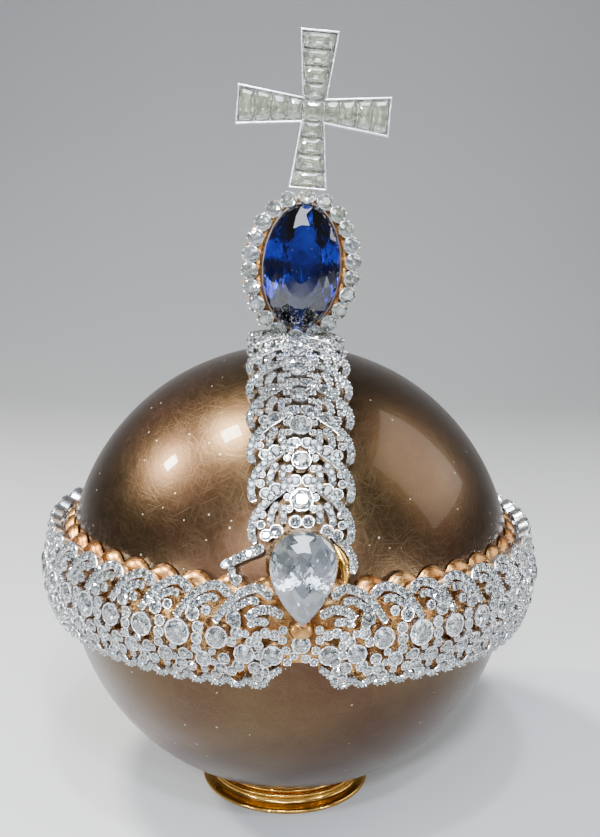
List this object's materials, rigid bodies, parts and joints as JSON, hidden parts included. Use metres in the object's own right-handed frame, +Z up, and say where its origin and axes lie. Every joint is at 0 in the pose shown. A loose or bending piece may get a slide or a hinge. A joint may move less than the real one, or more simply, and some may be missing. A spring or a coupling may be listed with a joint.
{
  "type": "ceremonial orb",
  "caption": "Ceremonial orb: a polished gold ball on a round foot, with a gem-set belt and arch, an oval blue stone and a cross on top.",
  "frame": {"origin": "centre of the foot's flat underside", "axes": "+Z up through the ball to the cross, -Y towards the front with the pear-cut stone"},
  "size_m": [0.154, 0.1608, 0.2381],
  "materials": {
    "ball_gold": "polished, worn with fine scratches",
    "bright_gold": "polished",
    "warm_gold": "satin",
    "silver": "polished",
    "colourless_stone": "cut and polished",
    "blue_stone": "cut and polished"
  },
  "bodies": {
    "root": {"arch_garland": "silver", "ball": "ball_gold", "belt_backing": "warm_gold", "belt_garland": "silver", "cross_diamond_bottom_1": "colourless_stone", "cross_diamond_bottom_2": "colourless_stone", "cross_diamond_bottom_3": "colourless_stone", "cross_diamond_bottom_4": "colourless_stone", "cross_diamond_centre": "colourless_stone", "cross_diamond_left_1": "colourless_stone", "cross_diamond_left_2": "colourless_stone", "cross_diamond_left_3": "colourless_stone", "cross_diamond_left_4": "colourless_stone", "cross_diamond_right_1": "colourless_stone", "cross_diamond_right_2": "colourless_stone", "cross_diamond_right_3": "colourless_stone", "cross_diamond_right_4": "colourless_stone", "cross_diamond_top_1": "colourless_stone", "cross_diamond_top_2": "colourless_stone", "cross_diamond_top_3": "colourless_stone", "cross_diamond_top_4": "colourless_stone", "cross_mount": "silver", "foot": "bright_gold", "halo_diamond_01": "colourless_stone", "halo_diamond_02": "colourless_stone", "halo_diamond_03": "colourless_stone", "halo_diamond_04": "colourless_stone", "halo_diamond_05": "colourless_stone", "halo_diamond_06": "colourless_stone", "halo_diamond_07": "colourless_stone", "halo_diamond_08": "colourless_stone", "halo_diamond_09": "colourless_stone", "halo_diamond_10": "colourless_stone", "halo_diamond_11": "colourless_stone", "halo_diamond_12": "colourless_stone", "halo_diamond_13": "colourless_stone", "halo_diamond_14": "colourless_stone", "halo_diamond_15": "colourless_stone", "halo_diamond_16": "colourless_stone", "halo_diamond_17": "colourless_stone", "halo_diamond_18": "colourless_stone", "halo_diamond_19": "colourless_stone", "halo_diamond_20": "colourless_stone", "halo_diamond_21": "colourless_stone", "halo_diamond_22": "colourless_stone", "pear_diamond": "colourless_stone", "pear_setting": "bright_gold", "sapphire": "blue_stone", "sapphire_mount": "warm_gold"}
  },
  "joints": []
}
